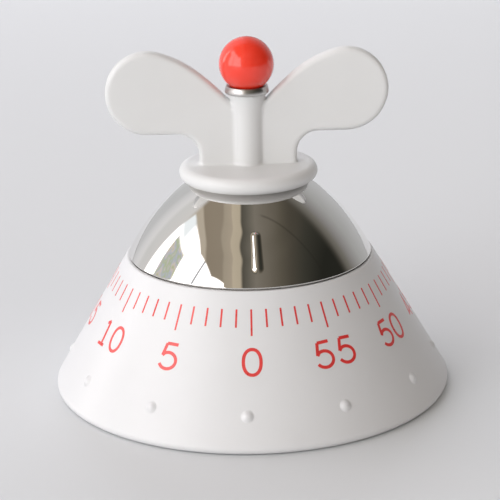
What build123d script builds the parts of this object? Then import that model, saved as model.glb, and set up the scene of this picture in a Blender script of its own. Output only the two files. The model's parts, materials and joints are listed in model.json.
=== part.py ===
from build123d import *
import math
import os

os.makedirs("parts", exist_ok=True)

# Wind-up 60-minute kitchen timer. Millimetres, +Z up, floor at z = 0,
# printed zero mark at the front (-Y). Every angle is in degrees.

# base shell
SHELL_Z0 = 0.2
SHELL_TOP = 37.6
CONE_R0 = 56.34
CONE_SLOPE = 0.588
WALL = 3.1
EDGE_ROUND = 1.4
LIP_BORE_R = 33.3
LIP_ROUND = 0.45
DECK_Z0 = 33.0
DECK_Z1 = 34.6
DECK_HOLE_R = 7.0
NUB_COUNT = 12
NUB_R = 1.75
NUB_SINK = 0.8
NUB_Z = 9.3
NUB_TURN = -1.65

# bottom cover, feet and screws
COVER_Z0 = 1.0
COVER_Z1 = 3.2
COVER_GAP = 0.2
BOSS_RING_R = 43.0
BOSS_R = 3.2
FOOT_RING_R = 40.0
FOOT_R = 4.5
FOOT_H = 1.5
SLOT_COUNT = 12
COVER_SCREW_R = 1.25

# dome, shared arc centre (radius from the axis, height)
ARC_X = -17.83
ARC_Z = 11.57
ARC_R = 57.97
DOME_T = 0.8
DOME_TOP = 58.8
DOME_EDGE_Z = 37.95
DOME_EDGE_ROUND = 0.3
DOME_SKIRT_R = 33.0
DOME_SKIRT_Z0 = 35.2
RIB_R = 1.0
RIB_SINK = 0.35
RIB_Z0 = 42.8
RIB_Z1 = 50.0
RIB_TURN = 3.6
REST_TURN = 2.0

# knob, ring and ball
FLANGE_R = 19.0
FLANGE_Z1 = 63.2
STEM_R = 4.37
STEM_TOP_R = 5.2
STEM_TOP = 82.8
WING_T = 4.6
WING_ROUND = 1.25
TIP_X = 27.0
TIP_Z = 83.3
TIP_R = 11.4
RING_R = 6.0
RING_H = 2.07
RING_FOOT_ROUND = 0.5
RING_FACE_R = 3.0
RING_FACE_TURN = 30.0
RING_LIP_R = 5.35
BALL_R = 7.5
BALL_Z = 90.67
STUD_R = 1.5
STUD_TOP = 91.2
STUD_HEAD_R = 3.2
STUD_HEAD_H = 1.8

# drive hub and dial screws
HUB_R = 5.5
HUB_Z0 = 44.0
HUB_FLANGE_R = 11.5
HUB_FLANGE_T = 1.6
DIAL_SCREW_RING_R = 8.5
DIAL_SCREW_R = 1.0

# movement plates and pillars
PLATE_R = 33.0
PLATE_T = 1.2
LOWER_Z0 = 14.5
UPPER_Z0 = 28.5
PILLAR_RING_R = 29.5
PILLAR_R = 2.2
PILLAR_ANGLES = (15, 80, 148, 312)
PLATE_SCREW_R = 1.0
END_SHAKE = 0.15
RUN_GAP = 0.05

# arbors
MAIN_R = 3.0
MAIN_PIVOT_R = 1.5
FLAT_X = 2.3
ARBOR_R = 0.8
PIVOT_R = 0.5

# gear train: wheel teeth, pinion leaves and modules
GREAT_TEETH = 60
GREAT_MODULE = 0.6
SECOND_LEAVES = 10
SECOND_TEETH = 60
SECOND_MODULE = 0.45
THIRD_LEAVES = 8
THIRD_TEETH = 48
THIRD_MODULE = 0.4
ESCAPE_LEAVES = 8
ESCAPE_TEETH = 16
ESCAPE_R = 7.0
TOOTH_SHARE = 0.46
LEAF_SHARE = 0.36
ADDENDUM = 1.25
DEDENDUM = 1.1
LEAF_DEPTH = 1.65

# arbor positions: second arbor at this angle, the rest follow the gear centres
SECOND_ANGLE = 200.0
SECOND_RING_R = GREAT_MODULE * (GREAT_TEETH + SECOND_LEAVES) / 2
THIRD_RING_R = 26.0
ESCAPE_RING_R = 27.0
PALLET_RING_R = 27.0
PALLET_SPAN = 10.5

# pallet anchor and balance ring
PIN_R = 0.3
PIN_GAP = 0.6
PIN_HALF_ANGLE = 28.1
BALANCE_R = 7.5

# mainspring
SPRING_IN_R = 3.5
SPRING_OUT_R = 15.0
SPRING_T = 0.35
SPRING_TURNS = 7
SPRING_END_ANGLE = 30.0
SPRING_POST_R = 1.2

# alarm lever, hammer and bell
ALARM_RING_R = 22.0
ALARM_ANGLE = 50.0
CAM_R = 8.0
NOSE_R = 0.8
NOSE_ANGLE = 20.0
NOSE_GAP = 0.15
HAMMER_RING_R = 27.0
HAMMER_ANGLE = -10.0
HAMMER_ARBOR_R = 1.2
BELL_OFFSET_R = 9.0
BELL_OFFSET_ANGLE = 170.0
BELL_R = 21.0
BELL_Z0 = 5.0
BELL_Z1 = 12.0
BELL_T = 0.9
HEAD_R = 2.0
HEAD_GAP = 0.8
HEAD_ANGLE = -30.0


def polar(radius, angle):
    a = math.radians(angle)
    return (radius * math.cos(a), radius * math.sin(a))


def centre_angle(r1, r2, span):
    return math.degrees(math.acos((r1 * r1 + r2 * r2 - span * span) / (2 * r1 * r2)))


def heading(start, end):
    return math.degrees(math.atan2(end[1] - start[1], end[0] - start[0]))


MESH_12 = SECOND_MODULE * (SECOND_TEETH + THIRD_LEAVES) / 2
MESH_23 = THIRD_MODULE * (THIRD_TEETH + ESCAPE_LEAVES) / 2
THIRD_ANGLE = SECOND_ANGLE + centre_angle(SECOND_RING_R, THIRD_RING_R, MESH_12)
ESCAPE_ANGLE = THIRD_ANGLE + centre_angle(THIRD_RING_R, ESCAPE_RING_R, MESH_23)
PALLET_ANGLE = ESCAPE_ANGLE + centre_angle(ESCAPE_RING_R, PALLET_RING_R, PALLET_SPAN)
SECOND_AT = polar(SECOND_RING_R, SECOND_ANGLE)
THIRD_AT = polar(THIRD_RING_R, THIRD_ANGLE)
ESCAPE_AT = polar(ESCAPE_RING_R, ESCAPE_ANGLE)
PALLET_AT = polar(PALLET_RING_R, PALLET_ANGLE)
ALARM_AT = polar(ALARM_RING_R, ALARM_ANGLE)
HAMMER_AT = polar(HAMMER_RING_R, HAMMER_ANGLE)
BELL_AT = polar(BELL_OFFSET_R, BELL_OFFSET_ANGLE)
NOSE_AT = polar(CAM_R + NOSE_GAP + NOSE_R, NOSE_ANGLE)
POST_AT = polar(SPRING_OUT_R + SPRING_T / 2 + SPRING_POST_R, SPRING_END_ANGLE)
SMALL_PIVOTS = (SECOND_AT, THIRD_AT, ESCAPE_AT, PALLET_AT, ALARM_AT)
LOWER_Z1 = LOWER_Z0 + PLATE_T
UPPER_Z1 = UPPER_Z0 + PLATE_T


def rod(radius, z0, z1, at=(0, 0)):
    flat = (Align.CENTER, Align.CENTER, Align.MIN)
    return Pos(at[0], at[1], z0) * Cylinder(radius, z1 - z0, align=flat)


def tube(outer, inner, z0, z1, at=(0, 0)):
    return rod(outer, z0, z1, at) - rod(inner, z0, z1, at)


def around(shape, angles, radius):
    return Part() + [Rot(0, 0, a) * Pos(radius, 0, 0) * shape for a in angles]


def turned(points_and_arcs):
    return revolve(make_face(Wire(points_and_arcs)), Axis.Z)


def side(x, z):
    return (x, 0, z)


def bar(start, end, width, z0, z1):
    length = math.dist(start, end)
    flat = (Align.MIN, Align.CENTER, Align.MIN)
    body = Box(length, width, z1 - z0, align=flat)
    place = Pos(start[0], start[1], z0) * Rot(0, 0, heading(start, end))
    ends = rod(width / 2, z0, z1, start) + rod(width / 2, z0, z1, end)
    return place * body + ends


def pan_screw(head_r, head_h, shank_r, shank_l):
    head = rod(head_r, 0, head_h)
    head = fillet(head.edges().group_by(Axis.Z)[-1], head_h * 0.45)
    slot = Pos(0, 0, head_h) * Box(head_r * 1.3, head_r * 0.3, head_h)
    cross = slot + Rot(0, 0, 90) * slot
    return head - cross + rod(shank_r, -shank_l, 0)


def cone_r(z):
    return CONE_R0 - CONE_SLOPE * z


def inner_r(z):
    return cone_r(z) - WALL


def arc_r(z, radius):
    return ARC_X + math.sqrt(radius * radius - (z - ARC_Z) ** 2)


def arc_z(r, radius):
    return ARC_Z + math.sqrt(radius * radius - (r - ARC_X) ** 2)


def base_shell():
    outline = Polyline(
        side(inner_r(SHELL_Z0), SHELL_Z0),
        side(cone_r(SHELL_Z0), SHELL_Z0),
        side(cone_r(SHELL_TOP), SHELL_TOP),
        side(LIP_BORE_R, SHELL_TOP),
        side(LIP_BORE_R, DECK_Z1),
        side(DECK_HOLE_R, DECK_Z1),
        side(DECK_HOLE_R, DECK_Z0),
        side(inner_r(DECK_Z0), DECK_Z0),
        close=True,
    )
    section = make_face(outline)
    foot_edge = section.vertices().sort_by(Axis.X)[-1]
    section = fillet(foot_edge, EDGE_ROUND)
    lip_edge = section.vertices().group_by(Axis.Z)[-1].sort_by(Axis.X)[-1]
    section = fillet(lip_edge, LIP_ROUND)
    shell = revolve(section, Axis.Z)
    envelope = Pos(0, 0, SHELL_Z0) * Cone(
        cone_r(SHELL_Z0) - 0.8,
        cone_r(DECK_Z1) - 0.8,
        DECK_Z1 - SHELL_Z0,
        align=(Align.CENTER, Align.CENTER, Align.MIN),
    )
    bosses = around(rod(BOSS_R, COVER_Z1, 24), range(45, 360, 90), BOSS_RING_R)
    shell += bosses & envelope
    shell += around(rod(3.0, UPPER_Z1, DECK_Z0), PILLAR_ANGLES, PILLAR_RING_R)
    shell -= around(rod(COVER_SCREW_R, COVER_Z1, 12), range(45, 360, 90), BOSS_RING_R)
    shell -= around(rod(PLATE_SCREW_R + 0.1, 29, 36), PILLAR_ANGLES, PILLAR_RING_R)
    tilt = math.atan(CONE_SLOPE)
    nub_x = cone_r(NUB_Z) - NUB_SINK * math.cos(tilt)
    nub_z = NUB_Z - NUB_SINK * math.sin(tilt)
    for i in range(NUB_COUNT):
        turn = -90 + NUB_TURN + i * 360 / NUB_COUNT
        shell += Rot(0, 0, turn) * Pos(nub_x, 0, nub_z) * Sphere(NUB_R)
    return shell


def bottom_cover():
    cover = Pos(0, 0, COVER_Z0) * Cone(
        inner_r(COVER_Z0) - COVER_GAP,
        inner_r(COVER_Z1) - COVER_GAP,
        COVER_Z1 - COVER_Z0,
        align=(Align.CENTER, Align.CENTER, Align.MIN),
    )
    recess = rod(FOOT_R + 0.1, COVER_Z0, FOOT_H)
    cover -= around(recess, range(0, 360, 90), FOOT_RING_R)
    cover -= around(rod(COVER_SCREW_R + 0.1, 0, 5), range(45, 360, 90), BOSS_RING_R)
    cover -= around(rod(2.7, COVER_Z0, 2.1), range(45, 360, 90), BOSS_RING_R)
    step = 360 / SLOT_COUNT
    slots = [step * i + step / 2 for i in range(SLOT_COUNT)]
    cover -= around(Pos(0, 0, 2) * Box(11, 1.8, 4), slots, 18)
    return cover


def rubber_feet():
    foot = rod(FOOT_R, 0, FOOT_H)
    foot = fillet(foot.edges().group_by(Axis.Z)[0], 0.3)
    return around(foot, range(0, 360, 90), FOOT_RING_R)


def cover_screws():
    screw = Pos(0, 0, 2.1) * Rot(180, 0, 0) * pan_screw(2.4, 1.0, COVER_SCREW_R, 8.5)
    return around(screw, range(45, 360, 90), BOSS_RING_R)


def plate(z0, main_hole_r):
    body = rod(PLATE_R, z0, z0 + PLATE_T)
    body -= rod(main_hole_r, z0, z0 + PLATE_T)
    body -= around(rod(PLATE_SCREW_R + 0.05, z0, z0 + PLATE_T), PILLAR_ANGLES, PILLAR_RING_R)
    for at in SMALL_PIVOTS:
        body -= rod(PIVOT_R + RUN_GAP, z0, z0 + PLATE_T, at)
    return body


def lower_plate():
    body = plate(LOWER_Z0, MAIN_PIVOT_R + RUN_GAP)
    body -= rod(HAMMER_ARBOR_R + RUN_GAP, LOWER_Z0, LOWER_Z1, HAMMER_AT)
    body -= rod(SPRING_POST_R, LOWER_Z0, LOWER_Z1, POST_AT)
    body -= rod(1.1, LOWER_Z0, LOWER_Z1, BELL_AT)
    body -= rod(6, LOWER_Z0, LOWER_Z1, polar(21, 115))
    return body


def upper_plate():
    body = plate(UPPER_Z0, MAIN_R + RUN_GAP)
    body -= rod(PIVOT_R + RUN_GAP, UPPER_Z0, UPPER_Z1, HAMMER_AT)
    body -= rod(7, UPPER_Z0, UPPER_Z1, polar(18, 112))
    body -= rod(5, UPPER_Z0, UPPER_Z1, polar(17, 12))
    body -= rod(5, UPPER_Z0, UPPER_Z1, polar(17, 300))
    return body


def plate_pillars():
    pillar = rod(PILLAR_R, LOWER_Z1, UPPER_Z0)
    pillar -= rod(PLATE_SCREW_R, LOWER_Z1, 20.2)
    pillar -= rod(PLATE_SCREW_R, 23.8, UPPER_Z0)
    return around(pillar, PILLAR_ANGLES, PILLAR_RING_R)


def pillar_screws():
    screw = Pos(0, 0, LOWER_Z0) * Rot(180, 0, 0) * pan_screw(2.0, 1.4, PLATE_SCREW_R, 5.5)
    return around(screw, PILLAR_ANGLES, PILLAR_RING_R)


def movement_screws():
    screw = Pos(0, 0, DECK_Z1) * pan_screw(2.2, 1.5, PLATE_SCREW_R, 10.5)
    return around(screw, PILLAR_ANGLES, PILLAR_RING_R)


def thrust_washer():
    return tube(6.0, MAIN_R + 0.1, UPPER_Z1, UPPER_Z1 + 0.5)


def spring_post():
    post = rod(SPRING_POST_R, LOWER_Z0, 23.8, POST_AT)
    return post + tube(2.0, SPRING_POST_R, LOWER_Z1, 16.4, POST_AT)


def mainspring():
    steps = SPRING_TURNS * 10
    inner = []
    outer = []
    for i in range(steps + 1):
        share = i / steps
        angle = SPRING_END_ANGLE - 360 * SPRING_TURNS * (1 - share)
        radius = SPRING_IN_R + (SPRING_OUT_R - SPRING_IN_R) * share
        inner.append(polar(radius - SPRING_T / 2, angle))
        outer.append(polar(radius + SPRING_T / 2, angle))
    lines = [
        Spline(*inner),
        Line(inner[-1], outer[-1]),
        Spline(*outer),
        Line(inner[0], outer[0]),
    ]
    strip = extrude(make_face(Wire(lines)), amount=4.6)
    return Pos(0, 0, 18.7) * strip


def quarter_bend(centre_r, centre_z, radius):
    """Quarter arc of a turned wall, from straight below its centre to straight out."""
    reach = radius * math.sqrt(0.5)
    return ThreePointArc(
        side(centre_r, centre_z - radius),
        side(centre_r + reach, centre_z - reach),
        side(centre_r + radius, centre_z),
    )


def bell_cup():
    bend = 5.0
    bend_r = BELL_R - bend
    bend_z = BELL_Z0 + bend
    wall_r = BELL_R - BELL_T
    section = [
        Line(side(1.1, BELL_Z0), side(bend_r, BELL_Z0)),
        quarter_bend(bend_r, bend_z, bend),
        Line(side(BELL_R, bend_z), side(BELL_R, BELL_Z1)),
        Line(side(BELL_R, BELL_Z1), side(wall_r, BELL_Z1)),
        Line(side(wall_r, BELL_Z1), side(wall_r, bend_z)),
        quarter_bend(bend_r, bend_z, bend - BELL_T),
        Line(side(bend_r, BELL_Z0 + BELL_T), side(1.1, BELL_Z0 + BELL_T)),
        Line(side(1.1, BELL_Z0 + BELL_T), side(1.1, BELL_Z0)),
    ]
    return Pos(BELL_AT[0], BELL_AT[1], 0) * turned(section)


def bell_post():
    return tube(2.6, 1.0, BELL_Z0 + BELL_T, LOWER_Z0, BELL_AT)


def bell_screw():
    screw = Pos(0, 0, BELL_Z0) * Rot(180, 0, 0) * pan_screw(2.6, 1.2, 1.0, 9.9)
    return Pos(BELL_AT[0], BELL_AT[1], 0) * screw


def coil(at, z0, turns, radius):
    path = Helix(0.62, 0.62 * turns, radius)
    wire = sweep(Plane(path @ 0, z_dir=path % 0) * Circle(0.24), path=path)
    return Pos(at[0], at[1], z0 + 0.3) * wire


def hammer_spring():
    return coil(HAMMER_AT, LOWER_Z1, 6, HAMMER_ARBOR_R + 0.54)


def alarm_spring():
    return coil(ALARM_AT, LOWER_Z1, 8, ARBOR_R + 0.54)


def chrome_dome():
    """Spun cap: its edge overhangs the lip of the shell and a skirt runs in the lip's bore."""
    edge_r = arc_r(DOME_EDGE_Z, ARC_R)
    outer = [
        Line(side(0, DOME_TOP), side(arc_r(DOME_TOP, ARC_R), DOME_TOP)),
        ThreePointArc(
            side(arc_r(DOME_TOP, ARC_R), DOME_TOP),
            side(arc_r(50, ARC_R), 50),
            side(edge_r, DOME_EDGE_Z),
        ),
        Line(side(edge_r, DOME_EDGE_Z), side(DOME_SKIRT_R, DOME_EDGE_Z)),
        Line(side(DOME_SKIRT_R, DOME_EDGE_Z), side(DOME_SKIRT_R, DOME_SKIRT_Z0)),
        Line(side(DOME_SKIRT_R, DOME_SKIRT_Z0), side(0, DOME_SKIRT_Z0)),
        Line(side(0, DOME_SKIRT_Z0), side(0, DOME_TOP)),
    ]
    face = make_face(Wire(outer))
    hem = face.vertices().sort_by(Axis.X)[-1]
    solid = revolve(fillet(hem, DOME_EDGE_ROUND), Axis.Z)
    rib_r = ARC_R - RIB_SINK
    path = ThreePointArc(
        side(arc_r(RIB_Z0, rib_r), RIB_Z0),
        side(arc_r((RIB_Z0 + RIB_Z1) / 2, rib_r), (RIB_Z0 + RIB_Z1) / 2),
        side(arc_r(RIB_Z1, rib_r), RIB_Z1),
    )
    rib = sweep(Plane(path @ 0, z_dir=path % 0) * Circle(RIB_R), path=path)
    rib += Pos(path @ 0) * Sphere(RIB_R)
    rib += Pos(path @ 1) * Sphere(RIB_R)
    solid += Rot(0, 0, -90 + RIB_TURN) * rib
    inner_rim = DOME_SKIRT_R - DOME_T
    inner_arc = ARC_R - DOME_T
    low_top = DOME_TOP - DOME_T
    inner = [
        Line(side(0, low_top), side(arc_r(low_top, inner_arc), low_top)),
        ThreePointArc(
            side(arc_r(low_top, inner_arc), low_top),
            side(arc_r(50, inner_arc), 50),
            side(inner_rim, arc_z(inner_rim, inner_arc)),
        ),
        Line(side(inner_rim, arc_z(inner_rim, inner_arc)), side(inner_rim, DOME_SKIRT_Z0)),
        Line(side(inner_rim, DOME_SKIRT_Z0), side(0, DOME_SKIRT_Z0)),
        Line(side(0, DOME_SKIRT_Z0), side(0, low_top)),
    ]
    solid -= turned(inner)
    solid -= around(rod(DIAL_SCREW_R, 57, 60), range(0, 360, 120), DIAL_SCREW_RING_R)
    return solid


def wing_plate():
    foot_x = 13.4
    bend_r = 5.8
    bend_x = foot_x + bend_r
    bend_z = TIP_Z - TIP_R - bend_r
    quarter = bend_r * math.sqrt(0.5)
    right = [
        Line(side(0, 61), side(foot_x, 61)),
        Line(side(foot_x, 61), side(foot_x, bend_z)),
        ThreePointArc(
            side(foot_x, bend_z),
            side(bend_x - quarter, bend_z + quarter),
            side(bend_x, bend_z + bend_r),
        ),
        Line(side(bend_x, bend_z + bend_r), side(TIP_X, TIP_Z - TIP_R)),
        ThreePointArc(
            side(TIP_X, TIP_Z - TIP_R),
            side(TIP_X + TIP_R, TIP_Z),
            side(TIP_X, TIP_Z + TIP_R),
        ),
        Spline(
            side(TIP_X, TIP_Z + TIP_R),
            side(20.4, 93.0),
            side(14.2, 89.5),
            side(8.0, 84.1),
            side(3.8, 79.7),
            tangents=((-1, 0, 0), (-1, 0, -1.05)),
        ),
        Line(side(3.8, 79.7), side(0, 79.7)),
        Line(side(0, 79.7), side(0, 61)),
    ]
    half = extrude(make_face(Wire(right)), amount=WING_T / 2, both=True)
    whole = half + mirror(half, Plane.YZ)
    rims = whole.faces().group_by(SortBy.AREA)[-1].edges()
    return fillet(rims, WING_ROUND)


def wing_knob():
    edge = (FLANGE_Z1 - DOME_TOP) / 2
    flange = turned([
        Line(side(0, DOME_TOP), side(FLANGE_R - edge, DOME_TOP)),
        ThreePointArc(
            side(FLANGE_R - edge, DOME_TOP),
            side(FLANGE_R, DOME_TOP + edge),
            side(FLANGE_R - edge, FLANGE_Z1),
        ),
        Line(side(FLANGE_R - edge, FLANGE_Z1), side(0, FLANGE_Z1)),
        Line(side(0, FLANGE_Z1), side(0, DOME_TOP)),
    ])
    stem = turned([
        Line(side(0, 61), side(STEM_R, 61)),
        Line(side(STEM_R, 61), side(STEM_R, 78)),
        Spline(
            side(STEM_R, 78),
            side(STEM_TOP_R, STEM_TOP - 0.5),
            tangents=((0, 0, 1), (0.45, 0, 1)),
        ),
        Line(side(STEM_TOP_R, STEM_TOP - 0.5), side(STEM_TOP_R - 0.4, STEM_TOP)),
        Line(side(STEM_TOP_R - 0.4, STEM_TOP), side(0, STEM_TOP)),
        Line(side(0, STEM_TOP), side(0, 61)),
    ])
    knob = flange + wing_plate() + stem
    knob -= rod(STUD_R, DOME_TOP, STEM_TOP)
    knob -= rod(STUD_HEAD_R + 0.1, DOME_TOP, DOME_TOP + STUD_HEAD_H)
    knob = Rot(0, 0, REST_TURN) * knob
    return knob - around(rod(DIAL_SCREW_R, 58, 62.2), range(0, 360, 120), DIAL_SCREW_RING_R)


def ball_ring():
    top = STEM_TOP + RING_H
    foot = RING_FOOT_ROUND
    face_z = STEM_TOP + foot

    def face(turn):
        inset = RING_FACE_R * (1 - math.cos(math.radians(turn)))
        return side(RING_R - inset, face_z + RING_FACE_R * math.sin(math.radians(turn)))

    bead = turned([
        Line(side(0, STEM_TOP), side(RING_R - foot, STEM_TOP)),
        quarter_bend(RING_R - foot, face_z, foot),
        ThreePointArc(side(RING_R, face_z), face(RING_FACE_TURN / 2), face(RING_FACE_TURN)),
        Line(face(RING_FACE_TURN), side(RING_LIP_R, top)),
        Line(side(RING_LIP_R, top), side(0, top)),
        Line(side(0, top), side(0, STEM_TOP)),
    ])
    return bead - Pos(0, 0, BALL_Z) * Sphere(BALL_R) - rod(STUD_R, STEM_TOP, top)


def knob_ball():
    return Pos(0, 0, BALL_Z) * Sphere(BALL_R) - rod(STUD_R, BALL_Z - BALL_R, STUD_TOP)


def knob_stud():
    head = Pos(0, 0, DOME_TOP) * extrude(RegularPolygon(STUD_HEAD_R, 6), STUD_HEAD_H)
    return head + rod(STUD_R, DOME_TOP + STUD_HEAD_H, STUD_TOP)


def flatted_rod(z0, z1):
    cut = Pos(FLAT_X, 0, z0) * Box(4, 8, z1 - z0, align=(Align.MIN, Align.CENTER, Align.MIN))
    return rod(MAIN_R, z0, z1) - cut


def drive_hub():
    flange_z0 = DOME_TOP - DOME_T - HUB_FLANGE_T
    hub = rod(HUB_R, HUB_Z0, flange_z0)
    hub += rod(HUB_FLANGE_R, flange_z0, DOME_TOP - DOME_T)
    hub -= flatted_rod(HUB_Z0, 56)
    return hub - around(rod(DIAL_SCREW_R, 56, 58), range(0, 360, 120), DIAL_SCREW_RING_R)


def dome_screws():
    seat = DOME_TOP - DOME_T - HUB_FLANGE_T
    screw = Pos(0, 0, seat) * Rot(180, 0, 0) * pan_screw(2.0, 1.4, DIAL_SCREW_R, 5.5)
    return around(screw, range(0, 360, 120), DIAL_SCREW_RING_R)


def main_arbor():
    arbor = rod(MAIN_PIVOT_R, LOWER_Z0 + 0.1, LOWER_Z1 + END_SHAKE)
    arbor += rod(MAIN_R, LOWER_Z1 + END_SHAKE, HUB_Z0)
    arbor += flatted_rod(HUB_Z0, 56)
    collar = UPPER_Z1 + 0.5 + RUN_GAP
    return arbor + rod(4.6, collar, collar + 1.2)


def wheel_tooth(pitch_r, module, roller_r):
    tip_r = pitch_r + ADDENDUM * module
    reach = pitch_r + roller_r
    rise = reach * reach + roller_r * roller_r
    flank = []
    for share in (0.5, 1.0):
        r = pitch_r + (tip_r - pitch_r) * share
        roll = math.acos((rise - r * r) / (2 * roller_r * reach))
        a = roll * roller_r / pitch_r
        x = reach * math.cos(a) - roller_r * math.cos(reach * a / roller_r)
        y = reach * math.sin(a) - roller_r * math.sin(reach * a / roller_r)
        flank.append((r, math.degrees(math.atan2(y, x))))
    return flank


def wheel(teeth, module, leaves, tooth_dir, z0, z1, bore_r):
    pitch_r = teeth * module / 2
    root_r = pitch_r - DEDENDUM * module
    (mid_r, mid_a), (tip_r, tip_a) = wheel_tooth(pitch_r, module, leaves * module / 4)
    half = TOOTH_SHARE * 180 / teeth
    step = 360 / teeth
    lines = []
    for i in range(teeth):
        c = tooth_dir + step * i
        lines += [
            Line(polar(root_r, c - half), polar(pitch_r, c - half)),
            ThreePointArc(
                polar(pitch_r, c - half),
                polar(mid_r, c - half + mid_a),
                polar(tip_r, c - half + tip_a),
            ),
            Line(polar(tip_r, c - half + tip_a), polar(tip_r, c + half - tip_a)),
            ThreePointArc(
                polar(tip_r, c + half - tip_a),
                polar(mid_r, c + half - mid_a),
                polar(pitch_r, c + half),
            ),
            Line(polar(pitch_r, c + half), polar(root_r, c + half)),
            Line(polar(root_r, c + half), polar(root_r, c + step - half)),
        ]
    body = extrude(make_face(Wire(lines)), amount=z1 - z0)
    return Pos(0, 0, z0) * body - rod(bore_r, z0, z1)


def pinion(leaves, module, leaf_dir, z0, z1):
    pitch_r = leaves * module / 2
    root_r = pitch_r - LEAF_DEPTH * module
    half = LEAF_SHARE * 180 / leaves
    crown = 0.8 * pitch_r * math.radians(half)
    step = 360 / leaves
    lines = []
    for i in range(leaves):
        c = leaf_dir + step * i
        lines += [
            Line(polar(root_r, c - half), polar(pitch_r, c - half)),
            ThreePointArc(
                polar(pitch_r, c - half),
                polar(pitch_r + crown, c),
                polar(pitch_r, c + half),
            ),
            Line(polar(pitch_r, c + half), polar(root_r, c + half)),
            Line(polar(root_r, c + half), polar(root_r, c + step - half)),
        ]
    body = extrude(make_face(Wire(lines)), amount=z1 - z0)
    return Pos(0, 0, z0) * body


def windows(inner, outer, spokes, width, z0, z1):
    ring = tube(outer, inner, z0, z1)
    flat = (Align.MIN, Align.CENTER, Align.MIN)
    spoke = Pos(0, 0, z0) * Box(outer + 1, width, z1 - z0, align=flat)
    for i in range(spokes):
        ring -= Rot(0, 0, i * 360 / spokes) * spoke
    return ring


def place(at, shape):
    return Pos(at[0], at[1], 0) * shape


def arbor():
    shaft = rod(ARBOR_R, LOWER_Z1 + END_SHAKE, UPPER_Z0 - END_SHAKE)
    return shaft + rod(PIVOT_R, LOWER_Z0 + 0.2, UPPER_Z1 - 0.2)


def collet(z0, z1):
    return rod(1.9, z0 - 0.6, z0) + rod(1.5, z1, z1 + 0.3)


def gap_dir(toward, leaves):
    return toward + 180 + 180 / leaves


def great_wheel():
    toward = heading((0, 0), SECOND_AT)
    body = wheel(GREAT_TEETH, GREAT_MODULE, SECOND_LEAVES, toward, 24.4, 25.6, MAIN_R)
    return body - around(rod(2.2, 24, 26), range(0, 360, 60), 14.2)


def ratchet_wheel():
    lines = []
    teeth = 14
    step = 360 / teeth
    for i in range(teeth):
        c = step * i
        lines.append(Line(polar(5.4, c), polar(6.6, c)))
        lines.append(Line(polar(6.6, c), polar(5.4, c + step)))
    body = Pos(0, 0, 25.6) * extrude(make_face(Wire(lines)), amount=0.7)
    return body - rod(MAIN_R, 25.6, 26.3)


def clicks():
    arm = bar((8.9, -3.6), (7.3, 0.7), 1.5, 25.6, 26.2)
    rivet = rod(1.2, 26.2, 26.5, (8.9, -3.6))
    return Rot(0, 0, 40) * (arm + rivet) + Rot(0, 0, 220) * (arm + rivet)


def alarm_cam():
    cam = rod(4.4, 26.3, 26.7) + rod(CAM_R, 26.7, 27.4)
    notch = Pos(CAM_R, 0, 26.7) * Box(3.2, 3.0, 0.7, align=(Align.CENTER, Align.CENTER, Align.MIN))
    cam -= Rot(0, 0, NOSE_ANGLE) * notch
    return cam - rod(MAIN_R, 26.3, 27.4)


def second_wheel():
    toward = heading(SECOND_AT, THIRD_AT)
    body = wheel(SECOND_TEETH, SECOND_MODULE, THIRD_LEAVES, toward, 16.9, 17.7, ARBOR_R)
    return place(SECOND_AT, body - windows(3.6, 11.2, 5, 1.6, 16.9, 17.7))


def second_arbor():
    leaf = gap_dir(heading((0, 0), SECOND_AT), SECOND_LEAVES)
    body = arbor() + collet(16.9, 17.7)
    body += pinion(SECOND_LEAVES, GREAT_MODULE, leaf, 23.6, 26.4)
    return place(SECOND_AT, body)


def third_wheel():
    toward = heading(THIRD_AT, ESCAPE_AT)
    body = wheel(THIRD_TEETH, THIRD_MODULE, ESCAPE_LEAVES, toward, 20.2, 20.9, ARBOR_R)
    return place(THIRD_AT, body - windows(3.2, 7.7, 5, 1.4, 20.2, 20.9))


def third_arbor():
    leaf = gap_dir(heading(SECOND_AT, THIRD_AT), THIRD_LEAVES)
    body = arbor() + collet(20.2, 20.9)
    body += pinion(THIRD_LEAVES, SECOND_MODULE, leaf, 16.2, 18.6)
    return place(THIRD_AT, body)


def escape_wheel():
    lines = []
    step = 360 / ESCAPE_TEETH
    for i in range(ESCAPE_TEETH):
        c = step * i
        lines += [
            Line(polar(5.2, c - 2), polar(ESCAPE_R, c)),
            Line(polar(ESCAPE_R, c), polar(ESCAPE_R, c + 2.5)),
            Line(polar(ESCAPE_R, c + 2.5), polar(5.2, c + 9)),
            Line(polar(5.2, c + 9), polar(5.2, c + step - 2)),
        ]
    body = extrude(make_face(Wire(lines)), amount=0.7) - rod(ARBOR_R, 0, 0.7)
    body -= windows(2.6, 4.2, 4, 1.1, 0, 0.7)
    return place(ESCAPE_AT, Pos(0, 0, 23.0) * body)


def escape_arbor():
    leaf = gap_dir(heading(THIRD_AT, ESCAPE_AT), ESCAPE_LEAVES)
    body = arbor() + collet(23.0, 23.7)
    body += pinion(ESCAPE_LEAVES, THIRD_MODULE, leaf, 19.4, 21.7)
    return place(ESCAPE_AT, body)


def pin_centres():
    out = heading(ESCAPE_AT, PALLET_AT)
    reach = ESCAPE_R + PIN_R + PIN_GAP
    centres = []
    for sign in (-1, 1):
        x, y = polar(reach, out + sign * PIN_HALF_ANGLE)
        centres.append((ESCAPE_AT[0] + x, ESCAPE_AT[1] + y))
    return centres


def pallet_anchor():
    anchor = rod(2.0, 21.9, 22.6, PALLET_AT)
    for pin in pin_centres():
        anchor += bar(PALLET_AT, pin, 1.3, 21.9, 22.6)
        anchor += rod(PIN_R, 22.6, 24.0, pin)
    return anchor - rod(ARBOR_R, 21.9, 22.6, PALLET_AT)


def pallet_arbor():
    body = arbor() + rod(1.5, 18.9, 19.3) + rod(1.5, 21.4, 21.9)
    return place(PALLET_AT, body)


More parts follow.
